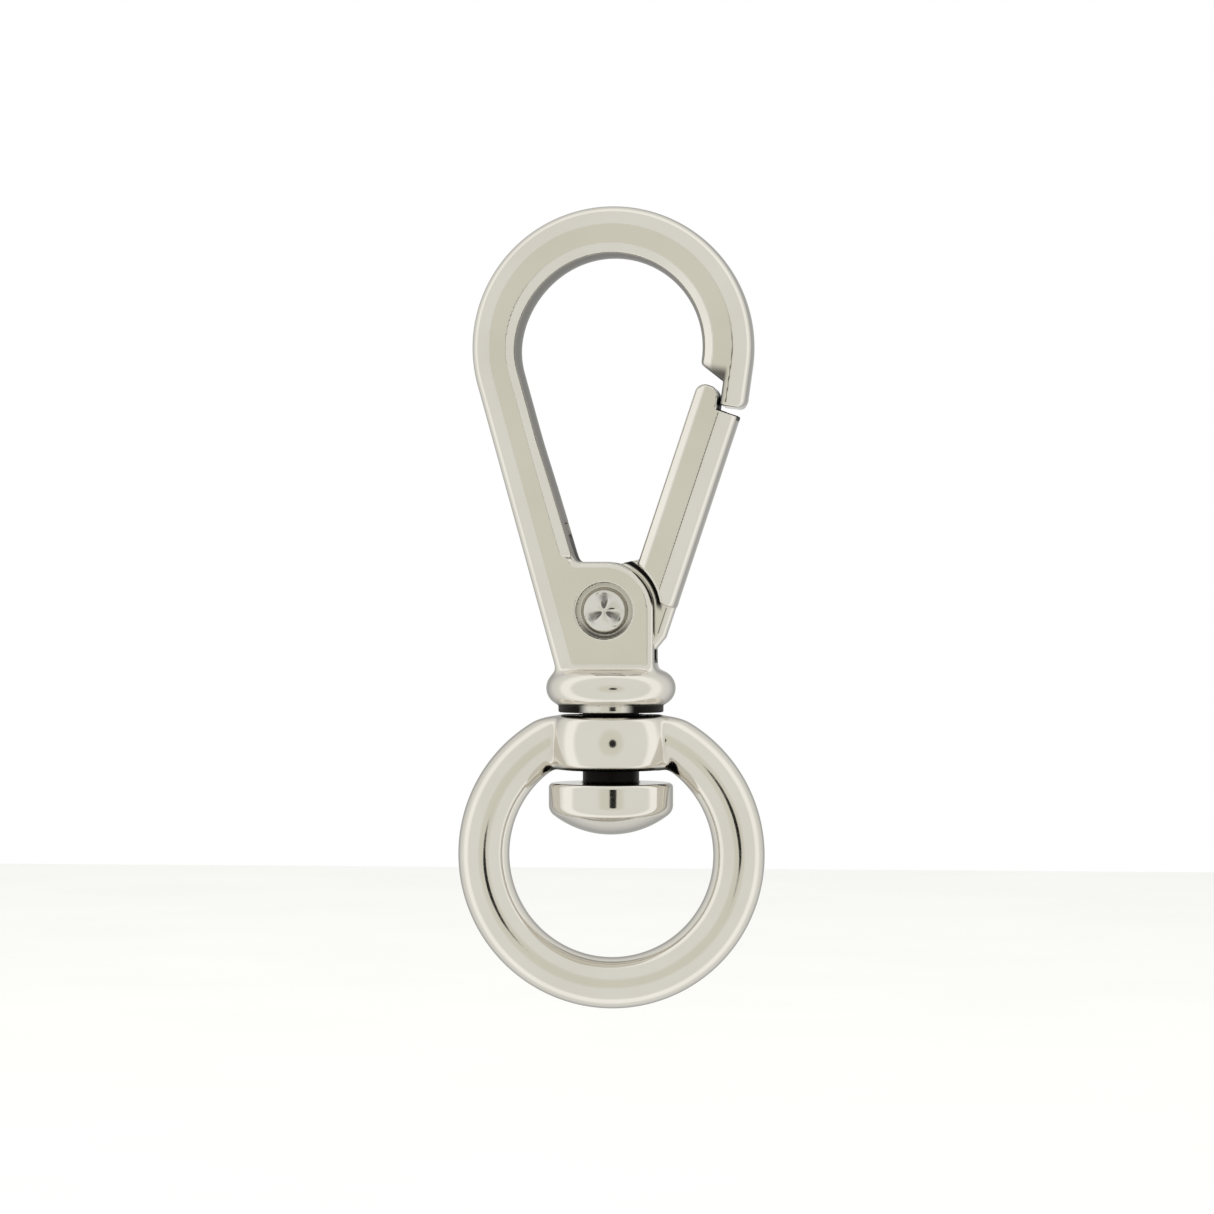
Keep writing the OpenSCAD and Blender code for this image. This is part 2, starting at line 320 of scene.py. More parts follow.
def mesh_object(name, points, faces, normals=None, edge_wear_and_crease_shade=None, painted_shade=None):
    """A smooth piece from points in millimetres, with its normals and masks where given."""
    mesh = bpy.data.meshes.new(name)
    mesh.from_pydata((points * MM).tolist(), [], [list(f) for f in faces])
    mesh.validate()
    for polygon in mesh.polygons:
        polygon.use_smooth = True
    # two masks: one for worn edges that also paints shade into creases, and one for near-black painted
    # shade in gaps and recesses
    for mask, values in (("edge_wear_and_crease_shade", edge_wear_and_crease_shade), ("painted_shade", painted_shade)):
        if values is not None:
            layer = mesh.attributes.new(mask, "FLOAT", "POINT")
            layer.data.foreach_set("value", values.astype(np.float32))
    if normals is not None:
        mesh.normals_split_custom_set_from_vertices(normals.tolist())
    piece = bpy.data.objects.new(name, mesh)
    bpy.context.scene.collection.objects.link(piece)
    return piece


def carved(name, shape, painted_shade, node, cell):
    """A piece meshed from a distance function inside a CAD node's box, with its exact normals."""
    low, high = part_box(node)
    points, faces = net(shape, np.array(low) / MM, np.array(high) / MM, cell)
    g = gradient(shape, points)
    normals = g / np.linalg.norm(g, axis=1, keepdims=True)
    # bend gives worn edges and painted shade in creases; the painted-shade function gives near-black
    # painted shade
    return mesh_object(name, points, faces.tolist(), normals, bend(shape, points), at(painted_shade, points))


def bend(shape, points, reach=0.12):
    """How sharply the surface bends: 1 on a crisp outer edge, 0 on a flat, -1 in a crease."""
    total = np.zeros(len(points))
    for axis in range(3):
        step = np.eye(3)[axis] * reach
        total += at(shape, points + step) + at(shape, points - step)
    return np.clip(total / (reach * reach) / 4, -1, 1)


# ---------------------------------------------------------------- shapes
def cast(outline, y, edge):
    """A cast plate: walls that curve in from the parting line, and a bevel to each face.
    edge is the bevel's width and depth, the walls' draft and the rounding of the bevel's foot."""
    bevel_w, bevel_h, draft, foot = edge
    wall = outline + draft * (y / half_t) ** 2
    face = np.abs(y) - half_t
    bevel = ((outline + bevel_w + draft) * bevel_h + face * bevel_w) / np.hypot(bevel_w, bevel_h)
    return both(both(wall, bevel, foot), face, face_crease)


def blended(first, second, share):
    """One edge's numbers turning into another's."""
    return [a + (b - a) * share for a, b in zip(first, second)]


def sided(outer, inner, u):
    """The outer edge's numbers where u is positive, and the inner edge's elsewhere."""
    return [np.where(u > 0, a, b) for a, b in zip(outer, inner)]


# bevel width and depth, draft of the walls, rounding of the bevel's foot
OUTER_EDGE = (1.15, 0.42, 0.35, 0.45)
INNER_EDGE = (0.62, 0.43, 0.35, 0.12)
CHEEK_EDGE = (0.36, 0.26, 0.12, 0.12)
GATE_INNER_EDGE = (0.60, 0.42, 0.18, 0.12)


def ring_shape(x, y, z):
    """The round ring, cut level with the hub's top, with the bulged hub and its bore."""
    wire = np.hypot(np.hypot(x, z) - ring_r, y) - wire_r
    wire = both(wire, z - hub_top, 0.6)
    rho = np.hypot(x, y)
    side = np.hypot(rho - hub_r + hub_bulge_r, z - hub_mid) - hub_bulge_r
    hub = both(side, np.abs(z - hub_mid) - hub_h / 2, hub_round)
    solid = either(wire, hub, 0.35 + 0.7 * ease(-z, -hub_mid + 0.5, -hub_mid + 1.6))
    bore = np.maximum(rho - bore_r, hub_mid - hub_h - z)
    return without(solid, bore, 0.25)


def plan_frame(x, z):
    """Place across the band from the bow's arc, and across and along the arm and the nose."""
    dx, dz = x - bow_x, z - bow_z
    radial = np.hypot(dx, dz) - bow_r
    ca, sa = math.cos(arm_lean), math.sin(arm_lean)
    arm_u = -dx * ca - dz * sa - bow_r
    arm_s = dx * sa - dz * ca
    cn, sn = math.cos(nose_sweep), math.sin(nose_sweep)
    nose_u = dx * cn - dz * sn - bow_r
    nose_s = -dx * sn - dz * cn
    return radial, arm_u, arm_s, nose_u, nose_s


def arm_slimming(arm_s, dx):
    """How far the arm's inner side stands back: in full just below the bow, a fifth less lower."""
    share = ease(arm_s, -7.0, -1.0) * (1 - 0.2 * ease(arm_s, 5.0, 10.0))
    return arm_slim * share * ease(-dx, 2.0, 6.0)


def cheek_outline(dx, dz, arm_u, z):
    """The cheeks round the pin: a round corner up and to the right, running down to the collar."""
    cheek = np.hypot(np.maximum(dx, 0), np.maximum(dz, 0)) + np.minimum(np.maximum(dx, dz), 0)
    return np.maximum(cheek - cheek_r, np.maximum(arm_u - 1, cheek_low - z))


def hook_plate(x, y, z):
    """The bow, the arm, the nose and the cheeks as one cast plate."""
    radial, arm_u, arm_s, nose_u, nose_s = plan_frame(x, z)
    on_arm = (arm_s > 0) & (x < bow_x)
    on_nose = (nose_s > 0) & (x > bow_x)
    u = np.where(on_arm, arm_u, np.where(on_nose, nose_u, radial))
    slim = arm_slimming(arm_s, x - bow_x) * ease(-u, 0.0, 1.5)
    band = np.where((x > bow_x) & (z < nose_room), far, np.abs(u) - band_half + slim)
    cheek = cheek_outline(x - pivot_x, z - pivot_z, arm_u, z)
    outline = either(band, cheek, 0.5)
    above = ease(z, pivot_z + cheek_r - 0.1, pivot_z + cheek_r + 0.6)
    inner = blended(CHEEK_EDGE, INNER_EDGE, above)
    return cast(outline, y, sided(OUTER_EDGE, inner, u))


def nose_cut(plate, x, z):
    """The plate with the nose's end, its cut corner, and the lap that the gate closes on."""
    _, _, _, nose_u, nose_s = plan_frame(x, z)
    near_nose = (x > bow_x) & (z > nose_room)
    end = np.where(near_nose, nose_s - nose_l, -far)
    plate = both(plate, end, 0.25)
    corner = (nose_u - band_half + lip_end_cut + nose_s - nose_l) / math.sqrt(2)
    corner = np.where(near_nose, corner, -far)
    plate = both(plate, corner, 0.2)
    step = lip_step - (lip_inner - nose_u) * math.tan(lip_slope) - nose_s
    lap = np.maximum(nose_u - lip_inner, step * math.cos(lip_slope))
    lap = np.where(near_nose & (nose_s > -2), lap, far)
    return without(plate, lap, 0.35)


def collar_shape(rho, z):
    """The round collar that the arm and the cheeks stand on, with its bearing face below."""
    rim_r = collar_h / 2
    mid = collar_z + rim_r
    collar = np.hypot(np.maximum(rho - collar_r + rim_r, 0), z - mid) - rim_r
    bearing = both(rho - bearing_r, collar_z - bearing_h - z, 0.12)
    return np.minimum(collar, np.maximum(bearing, z - mid))


def slot_shape(dx, y, dz, x, z):
    """The room for the gate's tongue: round the pin, out to the gate, and down to the collar."""
    ca, sa = math.cos(slot_back), math.sin(slot_back)
    slot = np.hypot(dx, dz) - slot_r
    wedge = np.maximum(np.maximum(-dx * ca - dz * sa, -dz), dz - slot_mouth)
    slot = np.minimum(slot, wedge)
    slot = np.minimum(slot, np.maximum(np.maximum(slot_floor - z, slot_left - x), dz - 0.5))
    return np.maximum(slot, np.abs(y) - slot_half)


def hook_shape(x, y, z):
    """The whole hook casting, with the tongue's slot, the rivet's holes and the stud's seat."""
    dx, dz = x - pivot_x, z - pivot_z
    rho = np.hypot(x, y)
    plate = nose_cut(hook_plate(x, y, z), x, z)
    plate = np.maximum(plate, cheek_low - z)
    solid = either(plate, collar_shape(rho, z), 0.9)
    solid = without(solid, slot_shape(dx, y, dz, x, z), 0.3)
    pin = np.hypot(dx, dz)
    holes = np.minimum(pin - rivet_r - 0.01, np.maximum(pin - counterbore_r, rivet_seat - np.abs(y)))
    solid = without(solid, holes, 0.14)
    seat = np.minimum(np.maximum(rho - shank_r - 0.01, z - shank_top), rho - tenon_sink_r)
    return without(solid, np.maximum(seat, z - slot_floor - 1), 0.1)


def gate_frame(x, z):
    """Across the gate from the pin, and along it from the pin."""
    dx, dz = x - pivot_x, z - pivot_z
    c, s = math.cos(gate_lean), math.sin(gate_lean)
    return dx * c - dz * s, dx * s + dz * c


# the tongue's outline in the gate's frame, clockwise from the pin
TONGUE = [
    (0, 0), (-1.2, 3.3), (1.57, 4.95), (1.57, 6.35), (3.77, 6.35), (5.02, 2.3),
    (5.02, -0.5), (4.6, -1.6), (3.2, -2.5), (0, -3.35),
]


def polygon_distance(px, py, corners):
    """Signed distance to a closed outline, negative inside."""
    best = np.full(np.broadcast(px, py).shape, 1e9)
    sign = np.ones(best.shape)
    for (ax, ay), (bx, by) in zip(corners, corners[-1:] + corners[:-1]):
        ex, ey = bx - ax, by - ay
        wx, wy = px - ax, py - ay
        t = np.clip((wx * ex + wy * ey) / (ex * ex + ey * ey), 0, 1)
        best = np.minimum(best, np.hypot(wx - ex * t, wy - ey * t))
        above, below, left = py >= ay, py < by, ex * wy > ey * wx
        flip = (above & below & left) | (~above & ~below & ~left)
        sign = np.where(flip, -sign, sign)
    return best * sign


def gate_bar(n, s, u, y, nose_u):
    """The gate's cast bar: its tip cut to close on the nose's lap, its heel to clear the cheeks."""
    bar = cast(np.abs(u) - gate_half, y, sided(OUTER_EDGE, GATE_INNER_EDGE, u))
    bar = both(bar, np.maximum(s - gate_l, heel_low - s), 0.22)
    bar = both(bar, heel_r - np.hypot(n, s), 0.25)
    inner_tip = (s - n - gate_l + gate_inner + inner_tip_cut) / math.sqrt(2)
    bar = both(bar, inner_tip, 0.2)
    open_gap = 0.12 * ease(np.abs(y), 0.9, 1.3)
    lap = np.maximum(lip_inner - lap_gap - open_gap - nose_u, shoulder_l - open_gap - s)
    bar = without(bar, lap, 0.15)
    outer_tip = np.maximum(-(s + n - gate_l - outer_tip_cut) / math.sqrt(2), shoulder_l - s)
    return without(bar, outer_tip, 0.15)


def spring_room(n, s, y):
    """The room inside the gate for the spring's coils and for both of its legs."""
    room = np.minimum(np.hypot(n, s) - coil_room_r, np.maximum(n, np.hypot(n, s) - body_leg_room_r))
    channel = np.maximum(np.abs(n) - leg_room_half, np.maximum(-s, s - gate_leg_room_l))
    return np.maximum(np.minimum(room, channel), np.abs(y) - spring_room_half)


def gate_shape(x, y, z):
    """The gate: its bar, the tongue round the pin, the spring's room and the pin's bore."""
    n, s = gate_frame(x, z)
    _, _, _, nose_u, _ = plan_frame(x, z)
    solid = gate_bar(n, s, n - gate_mid, y, nose_u)
    tongue = np.minimum(np.hypot(n, s) - tongue_r, polygon_distance(n, s, TONGUE))
    tongue = both(tongue, np.abs(y) - tongue_half, 0.7)
    solid = either(solid, tongue, 0.2)
    solid = without(solid, spring_room(n, s, y), 0.1)
    return without(solid, np.hypot(n, s) - gate_bore_r, 0.15)


# ---------------------------------------------------------------- painted shade
# Painted shade is a near-black colour painted where shade falls: in the gaps, bores and slot and on the
# inside of the bow.
def ring_painted_shade(x, y, z):
    """Painted shade on the hub's underside and in its bore."""
    rho = np.hypot(x, y)
    on_hub = z > hub_mid - hub_h
    under = fade(z, hub_low + 0.14, hub_low + 0.34) * fade(rho, hub_r - 0.1, hub_r + 0.3)
    bore = fade(rho, bore_r + 0.1, bore_r + 0.3)
    return np.maximum(under, bore) * on_hub


def collar_painted_shade(x, y, z):
    """Painted shade on the underside of the collar and in the seam above its bearing face."""
    clear_of_middle = ease(np.abs(x), 1.3, 2.2)
    seam = fade(z, collar_z + 0.05, collar_z + 0.30) * (np.hypot(x, y) > bearing_r - 0.05)
    boss = fade(z, collar_z - 0.05, collar_z + 0.05)
    flat = fade(z, collar_z - bearing_h, collar_z - bearing_h + 0.08)
    return np.maximum.reduce([seam * clear_of_middle, boss * clear_of_middle, flat])


def counterbore_painted_shade(x, y, z):
    """Painted shade in the ring round each rivet head, darker below the pin."""
    pin = np.hypot(x - pivot_x, z - pivot_z)
    ring = ease(pin, 1.8, 1.95) * fade(pin, counterbore_r - 0.1, counterbore_r + 0.02)
    ring = ring * fade(np.abs(y), half_t - 0.3, half_t - 0.12)
    return ring * (0.25 + 0.6 * ease(pivot_z - z, 0.5, 1.8))


def slot_painted_shade(y, z, arm_u):
    """Painted shade on the walls of the tongue's slot."""
    walls = fade(np.abs(y), slot_half, slot_half + 0.15)
    return walls * (z > slot_floor - 0.3) * (z < pivot_z + 6) * (arm_u < 1.5)


def hook_painted_shade(x, y, z):
    """Painted shade on the hook: in the gaps, the slot, the inside of the bow and the lap."""
    radial, arm_u, arm_s, nose_u, nose_s = plan_frame(x, z)
    side = np.where(z > bow_z, radial, np.where(x < bow_x, arm_u, nose_u))
    back = arm_slimming(arm_s, x - bow_x)
    # painted shade on the inner walls of the bow and arm, where shade falls inside the loop
    inside = ease(-side + back, band_half - 0.42, band_half - 0.2) * (z > pivot_z + cheek_r - 0.6)
    bevel_foot = half_t - INNER_EDGE[1]
    inside = inside * fade(np.abs(y), bevel_foot - 0.1, bevel_foot)
    # painted shade on the nose's lap, where the gate closes over it
    lap = ease(nose_s, 0.2, 1.0) * fade(nose_u, lip_inner + 0.05, lip_inner + 0.25)
    lap = lap * (x > bow_x) * (z > nose_room)
    under, ring = collar_painted_shade(x, y, z), counterbore_painted_shade(x, y, z)
    return np.maximum.reduce([under, ring, slot_painted_shade(y, z, arm_u), inside * 0.55, lap * 0.8])


def gate_painted_shade(x, y, z):
    """Painted shade in the gap between the heel and the cheeks, and on the step that laps the nose."""
    n, s = gate_frame(x, z)
    _, _, _, nose_u, _ = plan_frame(x, z)
    r = np.hypot(n, s)
    arc_gap = fade(r, heel_r - 0.04, heel_r + 0.06) * ease(r, heel_r - 0.42, heel_r - 0.32)
    arc_gap = arc_gap * ease(s, 1.2, 1.9)
    lap_u = lip_inner - lap_gap
    lap = ease(nose_u, lap_u - 0.5, lap_u - 0.25) * (s > shoulder_l - 0.4)
    return np.maximum(arc_gap, lap * fade(np.abs(y), 1.35, 1.75))


def stud_painted_shade(x, y, z):
    """Painted shade on the shank, from the foot of its fillet up."""
    rho = np.hypot(x, y)
    return ease(z, button_top + 0.02, button_top + 0.15) * fade(rho, shank_r + 0.1, shank_r + 0.5)


# ---------------------------------------------------------------- turned pieces and wires
def arc(cx, cz, r, start, end, steps):
    """Points and outward directions round an arc, angles in degrees."""
    a = np.radians(np.linspace(start, end, steps))
    return [((cx + r * math.cos(t), cz + r * math.sin(t)), (math.cos(t), math.sin(t))) for t in a]


def line(p, q, steps):
    """Points along a line with the direction to its right."""
    dx, dz = q[0] - p[0], q[1] - p[1]
    length = math.hypot(dx, dz)
    side = (dz / length, -dx / length)
    return [((p[0] + dx * t, p[1] + dz * t), side) for t in np.linspace(0, 1, steps)]


def skin(rows):
    """Faces between each row of point numbers and the next; at a tip they are triangles."""
    faces = []
    for low, high in zip(rows, rows[1:]):
        for i in range(len(low)):
            j = (i + 1) % len(low)
            face = [low[i], low[j], high[j], high[i]]
            face = [v for k, v in enumerate(face) if v != face[k - 1]]
            if len(face) > 2:
                faces.append(face)
    return faces


def lathe(name, profile, painted_shade, turns=288):
    """A turned piece: profile runs from the axis at the bottom to the axis at the top."""
    points, normals, rows = [], [], []
    for (r, z), (nr, nz) in profile:
        row = []
        if r < 1e-6:
            row = [len(points)] * turns
            points.append((0, 0, z))
            normals.append((0, 0, 1 if nz > 0 else -1))
        else:
            for i in range(turns):
                a = 2 * math.pi * i / turns
                row.append(len(points))
                points.append((r * math.cos(a), r * math.sin(a), z))
                normals.append((nr * math.cos(a), nr * math.sin(a), nz))
        rows.append(row)
    points = np.array(points, float)
    return mesh_object(name, points, skin(rows), np.array(normals, float), None, at(painted_shade, points))


def stud_profile():
    """The button's dome and rim, the shank, and the tenon with its sunk head."""
    dome_r = (button_r ** 2 + button_dome_h ** 2) / (2 * button_dome_h)
    rim_r = 1.0
    foot_r = 0.25
    tip_r = 0.1
    swing = math.degrees(math.asin((button_r - rim_r) / (dome_r - rim_r)))
    rim_z = button_low + dome_r - (dome_r - rim_r) * math.cos(math.radians(swing))
    edge_r = button_r - button_edge
    foot_z = button_top + foot_r
    sink_z = slot_floor - tenon_sink_h
    parts = arc(0, button_low + dome_r, dome_r, -90, -90 + swing, 40)
    parts += arc(button_r - rim_r, rim_z, rim_r, -90 + swing, 0, 16)
    parts += line((button_r, rim_z), (button_r, button_top - button_edge), 10)
    parts += arc(edge_r, button_top - button_edge, button_edge, 0, 90, 14)
    parts += line((edge_r, button_top), (shank_r + foot_r, button_top), 8)
    parts += [(p, (-n[0], -n[1])) for p, n in arc(shank_r + foot_r, foot_z, foot_r, -90, -180, 8)]
    parts += line((shank_r, foot_z), (shank_r, shank_top - tip_r), 10)
    parts += arc(shank_r - tip_r, shank_top - tip_r, tip_r, 0, 90, 5)
    parts += line((shank_r - tip_r, shank_top), (tenon_r, shank_top), 4)
    parts += line((tenon_r, shank_top), (tenon_r, sink_z), 6)
    parts += line((tenon_r, sink_z), (tenon_sink_r, slot_floor), 4)
    parts += arc(tenon_sink_r - tip_r, slot_floor, tip_r, 0, 90, 6)
    parts += [((0, slot_floor + tip_r), (0, 1))]
    return parts


def grooves(angle):
    """1 in the middle of each of the three punched grooves, 0 halfway between them."""
    return 0.5 + 0.5 * np.cos(3 * (angle - math.pi / 2))


def rivet_head(r, angle):
    """Height of a staked rivet head above its seat: a dome with a worn rim and the grooves."""
    dome = 0.36 + 0.40 * (1 - (r / rivet_head_r) ** 2)
    rim = 0.34 * ease(r, rivet_head_r - 0.4, rivet_head_r) ** 2
    staked = 0.36 * grooves(angle) ** 3 * ease(r, 0.1, 0.4) * (1 - ease(r, 1.15, 1.6))
    return dome - rim - staked


def rivet_painted_shade(x, y, z):
    """Painted shade in the three punched grooves of each head."""
    dx, dz = x - pivot_x, z - pivot_z
    r = np.hypot(dx, dz)
    return 0.65 * grooves(np.arctan2(dz, dx)) ** 4 * ease(r, 0.1, 0.4) * (1 - ease(r, 1.1, 1.5))


def rivet():
    """A pin with two staked heads; one closed skin from the front's middle to the back's."""
    turns = 144
    radii = np.linspace(0, rivet_head_r, 56)
    profile = [(r, None, -1) for r in radii] + [(rivet_head_r, rivet_seat, -1)]
    profile += [(rivet_r, rivet_seat, -1), (rivet_r, rivet_seat, 1)]
    profile += [(rivet_head_r, rivet_seat, 1)] + [(r, None, 1) for r in radii[::-1]]
    points, rows = [], []
    for r, y, side in profile:
        row = []
        for i in range(turns):
            a = 2 * math.pi * i / turns
            if r == 0 and i:
                row.append(row[0])
                continue
            depth = y if y is not None else rivet_seat + float(rivet_head(r, a))
            row.append(len(points))
            points.append((pivot_x + r * math.cos(a), side * depth, pivot_z + r * math.sin(a)))
        rows.append(row)
    points = np.array(points, float)
    # the rows run away from the viewer, so they are taken backwards for faces that face outwards
    return mesh_object("rivet", points, skin(rows[::-1]), None, None, at(rivet_painted_shade, points))


def spring_wire(name, path, r):
    """A wire along a path given in the gate's frame, as across, along and depth."""
    c, s = math.cos(gate_lean), math.sin(gate_lean)
    path = [(pivot_x + n * c + a * s, y, pivot_z - n * s + a * c) for n, a, y in path]
    return tube(name, np.array(path), r)


def coil(first, last, steps):
    """Places along the coils between two angles, in the gate's frame."""
    rise = coil_rise / math.pi
    return [(coil_r * math.cos(a), -coil_r * math.sin(a), coil_y - rise * a)
            for a in np.linspace(first, last, steps)]


def spring():
    """The coils round the pin and the leg to the arm. They stay with the hook."""
    path = coil(0, coil_turn, 180)
    n, s, y = path[-1]
    across, along = -math.sin(coil_turn), -math.cos(coil_turn)
    path += [(n + across * t, s + along * t, y) for t in np.linspace(0, body_leg, 14)[1:]]
    return spring_wire("spring", path, wire_d / 2)


def spring_leg():
    """The leg along the gate. It follows the gate, its root nested in the first coil throughout."""
    path = [(coil_r, gate_leg * (1 - t), coil_y) for t in np.linspace(0, 1, 24, endpoint=False)]
    path += coil(0, nested_turn, 16)
    return spring_wire("spring_leg", path, wire_d / 2 * nested_share)


def tube(name, path, r, sides=16):
    """A round wire along a path, closed at both ends."""
    tangent = np.gradient(path, axis=0)
    tangent /= np.linalg.norm(tangent, axis=1, keepdims=True)
    across = np.array([0.0, 1.0, 0.0])
    points, faces = [], []
    for p, t in zip(path, tangent):
        across = across - t * (across @ t)
        across /= np.linalg.norm(across)
        other = np.cross(t, across)
        for i in range(sides):
            a = 2 * math.pi * i / sides
            points.append(p + r * (math.cos(a) * across + math.sin(a) * other))
    for k in range(len(path) - 1):
        for i in range(sides):
            j = (i + 1) % sides
            faces.append([k * sides + i, k * sides + j, (k + 1) * sides + j, (k + 1) * sides + i])
    start = list(range(sides))
    end = [(len(path) - 1) * sides + i for i in start]
    return mesh_object(name, np.array(points), faces + [start[::-1], end])


# ---------------------------------------------------------------- materials
def material(name):
    """A new material, its node tree and its shader."""
    made = bpy.data.materials.new(name)
    made.use_nodes = True
    return made, made.node_tree, made.node_tree.nodes["Principled BSDF"]


def feed(tree, socket, value):
    """Links a node's output to an input, or sets the input to a plain value."""
    if isinstance(value, bpy.types.NodeSocket):
        tree.links.new(value, socket)
    else:
        socket.default_value = value


def math_node(tree, operation, a, b=0.0):
    """The result of a sum on outputs or plain numbers."""
    node = tree.nodes.new("ShaderNodeMath")
    node.operation = operation
    feed(tree, node.inputs[0], a)
    feed(tree, node.inputs[1], b)
    return node.outputs[0]


def weighted(tree, *terms):
    """The sum of outputs, each times its weight."""
    total = 0.0
    for value, weight in terms:
        total = math_node(tree, "ADD", total, math_node(tree, "MULTIPLY", value, weight))
    return total


def noise(tree, vector, scale, detail=3.0):
    """Noise between 0 and 1."""
    node = tree.nodes.new("ShaderNodeTexNoise")
    node.inputs["Scale"].default_value = scale
    node.inputs["Detail"].default_value = detail
    feed(tree, node.inputs["Vector"], vector)
    return node.outputs["Fac"]


def ramp(tree, value, stops):
    """A colour for each value, from stops of a place and a grey or a colour."""
    node = tree.nodes.new("ShaderNodeValToRGB")
    elements = node.color_ramp.elements
    while len(elements) < len(stops):
        elements.new(0.5)
    for element, (place, shade) in zip(elements, stops):
        element.position = place
        element.color = (*shade, 1) if hasattr(shade, "__len__") else (shade, shade, shade, 1)
    feed(tree, node.inputs["Fac"], value)
    return node.outputs["Color"]


def mixed(tree, share, first, second, blend="MIX"):
    """One colour turning into another as share goes from 0 to 1."""
    node = tree.nodes.new("ShaderNodeMix")
    node.data_type = "RGBA"
    node.blend_type = blend
    feed(tree, node.inputs["Factor"], share)
    feed(tree, node.inputs["A"], first)
    feed(tree, node.inputs["B"], second)
    return node.outputs["Result"]


def mask(tree, name):
    """A mask that a mesh carries, or 0 where it carries none."""
    node = tree.nodes.new("ShaderNodeAttribute")
    node.attribute_name = name
    return node.outputs["Fac"]


def scratches(tree, place, turn):
    """Noise drawn out into fine parallel lines, turned by an angle about each axis."""
    lines = tree.nodes.new("ShaderNodeMapping")
    lines.inputs["Rotation"].default_value = turn
    lines.inputs["Scale"].default_value = (900, 900, 9000)
    feed(tree, lines.inputs["Vector"], place)
    return noise(tree, lines.outputs["Vector"], 1, 2)


def bump(tree, height):
    """A normal tilted by a height, where 1 stands for 0.04 mm."""
    node = tree.nodes.new("ShaderNodeBump")
    node.inputs["Strength"].default_value = 1.0
    node.inputs["Distance"].default_value = 0.00004
    feed(tree, node.inputs["Height"], height)
    return node.outputs["Normal"]


def plated(name, clean, dull_and_shaded, rough, wave, scratch_turn):
    """Polished plate over a casting: faint waves, fine scratches, worn edges, painted shade in the
    creases and near-black painted shade from its mask.
    """
    made, tree, shader = material(name)
    place = tree.nodes.new("ShaderNodeTexCoord").outputs["Object"]
    edge_wear_and_crease_shade, painted_shade = mask(tree, "edge_wear_and_crease_shade"), mask(tree, "painted_shade")
    edge = math_node(tree, "MAXIMUM", edge_wear_and_crease_shade, 0)
    crease = math_node(tree, "MAXIMUM", math_node(tree, "MULTIPLY", edge_wear_and_crease_shade, -0.6), 0)
    patch = ramp(tree, noise(tree, place, 160, 4), [(0.35, 0), (0.7, 1)])
    scratch = scratches(tree, place, scratch_turn)
    marks = ramp(tree, scratch, [(0.60, 0), (0.72, 1)])
    grain = noise(tree, place, 2600, 2)
    waves = noise(tree, place, wave, 1)

    # painted shade: creases turn towards the dimmer colour, on top of random patches of the plate's own
    # dimmer tone
    colour = mixed(tree, weighted(tree, (patch, 0.35), (crease, 1)), (*clean, 1), (*dull_and_shaded, 1))
    # near-black painted shade wherever the painted-shade mask is high
    feed(tree, shader.inputs["Base Color"], mixed(tree, painted_shade, colour, PAINTED_SHADE_BLACK))
    roughness = weighted(tree, (marks, 0.035), (grain, 0.04), (edge, 0.05), (crease, 0.15), (painted_shade, 0.3))
    feed(tree, shader.inputs["Roughness"], math_node(tree, "ADD", roughness, rough))
    relief = weighted(tree, (waves, 1), (scratch, 0.02), (grain, 0.01))
    feed(tree, shader.inputs["Normal"], bump(tree, relief))
    shader.inputs["Metallic"].default_value = 1.0
    return made


def put(piece, body, slot, finish, *nodes):
    """Gives a piece its material, and says which body moves it and which nodes it replaces."""
    piece.data.materials.append(finish)
    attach(piece, body)
    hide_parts(*nodes)


# ---------------------------------------------------------------- pieces
# near-black colour of the painted shade
PAINTED_SHADE_BLACK = (0.012, 0.011, 0.010, 1)
# each second colour is dimmer: random patches turn towards it, and so does the painted shade in creases
NICKEL, NICKEL_DULL_AND_SHADED = (0.80, 0.775, 0.725), (0.70, 0.665, 0.60)
RIVET, RIVET_DULL_AND_SHADED = (0.78, 0.765, 0.73), (0.62, 0.60, 0.56)
WIRE, WIRE_DULL_AND_SHADED = (0.56, 0.56, 0.57), (0.40, 0.40, 0.42)

ring_nickel = plated("ring_nickel", NICKEL, NICKEL_DULL_AND_SHADED, 0.07, 260, (0.3, 0.2, 0.9))
ring_piece = carved("ring", ring_shape, ring_painted_shade, "swivel_ring", 0.14)
put(ring_piece, "ring", "ring_plating", ring_nickel, "swivel_ring")

hook_nickel = plated("hook_nickel", NICKEL, NICKEL_DULL_AND_SHADED, 0.08, 240, (0.1, 0.4, 0.3))
hook_piece = carved("hook", hook_shape, hook_painted_shade, "hook_body", 0.12)
put(hook_piece, "hook", "body_plating", hook_nickel, "hook_body")

gate_nickel = plated("gate_nickel", NICKEL, NICKEL_DULL_AND_SHADED, 0.08, 240, (0.2, 0.7, 0.1))
gate_piece = carved("gate_tongue", gate_shape, gate_painted_shade, "gate", 0.09)
put(gate_piece, "gate", "gate_plating", gate_nickel, "gate")

stud_nickel = plated("stud_nickel", NICKEL, NICKEL_DULL_AND_SHADED, 0.07, 220, (0.0, 0.0, 0.4))
stud_piece = lathe("stud", stud_profile(), stud_painted_shade)
put(stud_piece, "hook", "stud_plating", stud_nickel, "swivel_stud")

rivet_nickel = plated("rivet_nickel", RIVET, RIVET_DULL_AND_SHADED, 0.06, 700, (0.5, 0.1, 0.2))
rivet_piece = rivet()
put(rivet_piece, "hook", "rivet_steel", rivet_nickel, "gate_rivet")

